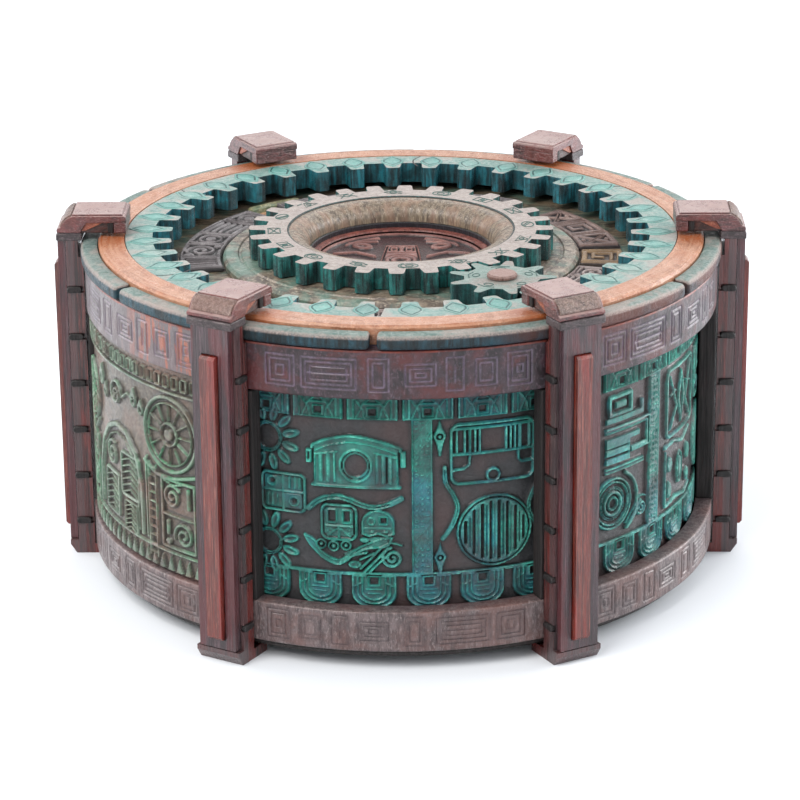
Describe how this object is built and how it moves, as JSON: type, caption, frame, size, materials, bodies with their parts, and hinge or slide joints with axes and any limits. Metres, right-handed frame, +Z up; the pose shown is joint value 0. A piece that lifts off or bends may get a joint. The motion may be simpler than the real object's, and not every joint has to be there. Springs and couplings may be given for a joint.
{
  "type": "cryptex puzzle box",
  "caption": "Low round wooden puzzle box with pillars around a turning carved cipher drum, and a geared lid with a sun wheel and pinion.",
  "frame": {"origin": "centre of the underside, on the table under the main axis", "axes": "+Z up along the main axis, -Y front, +X right seen from the front"},
  "size_m": [0.2206, 0.2026, 0.1149],
  "materials": {
    "case_brown": "satin",
    "band_plum": "satin",
    "pillar_core": "satin",
    "pillar_plum": "satin lacquer",
    "strip_red": "satin lacquer",
    "arm_plum": "satin",
    "drum_teal": "carved wood, teal paint, matt",
    "panel_olive": "satin",
    "base_black": "satin",
    "inner_ply": "satin",
    "floor_olive": "satin",
    "ring_copper": "satin",
    "gear_teal": "matt paint",
    "rim_slate": "matt paint",
    "sun_pink": "satin",
    "funnel_ochre": "satin",
    "pinion_green": "satin",
    "pin_brown": "satin",
    "glyph_brown": "satin",
    "dial_brown": "satin"
  },
  "bodies": {
    "frame": {"base_plate": "base_black", "lower_casing": "case_brown", "upper_band": "band_plum", "left_carved_panel": "panel_olive", "rear_carved_panel": "panel_olive", "drum_bearing_ring": "pin_brown", "spindle": "pin_brown", "lid_floor": "floor_olive", "pedestal": "funnel_ochre", "pinion_pin": "pin_brown", "glyph_plate_left": "glyph_brown", "glyph_plate_rear_left": "glyph_brown", "glyph_plate_rear_right": "glyph_brown", "glyph_plate_right_rear": "glyph_brown", "glyph_plate_right": "glyph_brown", "glyph_plate_right_front": "glyph_brown", "glyph_plate_front": "glyph_brown", "pillar_post_front_left": "pillar_core", "face_board_front_left": "pillar_plum", "red_strip_front_left": "strip_red", "arm_front_left": "arm_plum", "pillar_post_front_right": "pillar_core", "face_board_front_right": "pillar_plum", "red_strip_front_right": "strip_red", "arm_front_right": "arm_plum", "pillar_post_right": "pillar_core", "face_board_right": "pillar_plum", "red_strip_right": "strip_red", "arm_right": "arm_plum", "pillar_post_rear_right": "pillar_core", "face_board_rear_right": "pillar_plum", "red_strip_rear_right": "strip_red", "arm_rear_right": "arm_plum", "pillar_post_rear_left": "pillar_core", "face_board_rear_left": "pillar_plum", "red_strip_rear_left": "strip_red", "arm_rear_left": "arm_plum", "pillar_post_left": "pillar_core", "face_board_left": "pillar_plum", "red_strip_left": "strip_red", "arm_left": "arm_plum"},
    "drum": {"cipher_drum": "drum_teal", "drum_floor": "inner_ply", "centre_column": "inner_ply", "centre_dial": "dial_brown"},
    "lid_ring": {"ring_gear": "gear_teal", "copper_ring": "ring_copper", "rim_segment_1": "rim_slate", "rim_segment_2": "rim_slate", "rim_segment_3": "rim_slate", "rim_segment_4": "rim_slate", "rim_segment_5": "rim_slate", "rim_segment_6": "rim_slate"},
    "sun": {"sun_gear": "sun_pink", "funnel_insert": "funnel_ochre"},
    "pinion_wheel": {"pinion": "pinion_green"}
  },
  "joints": [
    {"name": "drum_spin", "type": "hinge", "parent": "frame", "child": "drum", "pos_m": [0, 0, 0], "axis": [0, 0, 1], "continuous": true},
    {"name": "lid_ring_spin", "type": "hinge", "parent": "frame", "child": "lid_ring", "pos_m": [0, 0, 0], "axis": [0, 0, 1], "continuous": true},
    {"name": "sun_spin", "type": "hinge", "parent": "frame", "child": "sun", "pos_m": [0, 0, 0], "axis": [0, 0, 1], "continuous": true},
    {"name": "pinion_spin", "type": "hinge", "parent": "frame", "child": "pinion_wheel", "pos_m": [0.0314, -0.05124, 0], "axis": [0, 0, 1], "continuous": true}
  ],
  "couplings": [
    {"joint": "sun_spin", "follows": "lid_ring_spin", "ratio": -1.3571},
    {"joint": "pinion_spin", "follows": "lid_ring_spin", "ratio": 4.2222}
  ]
}
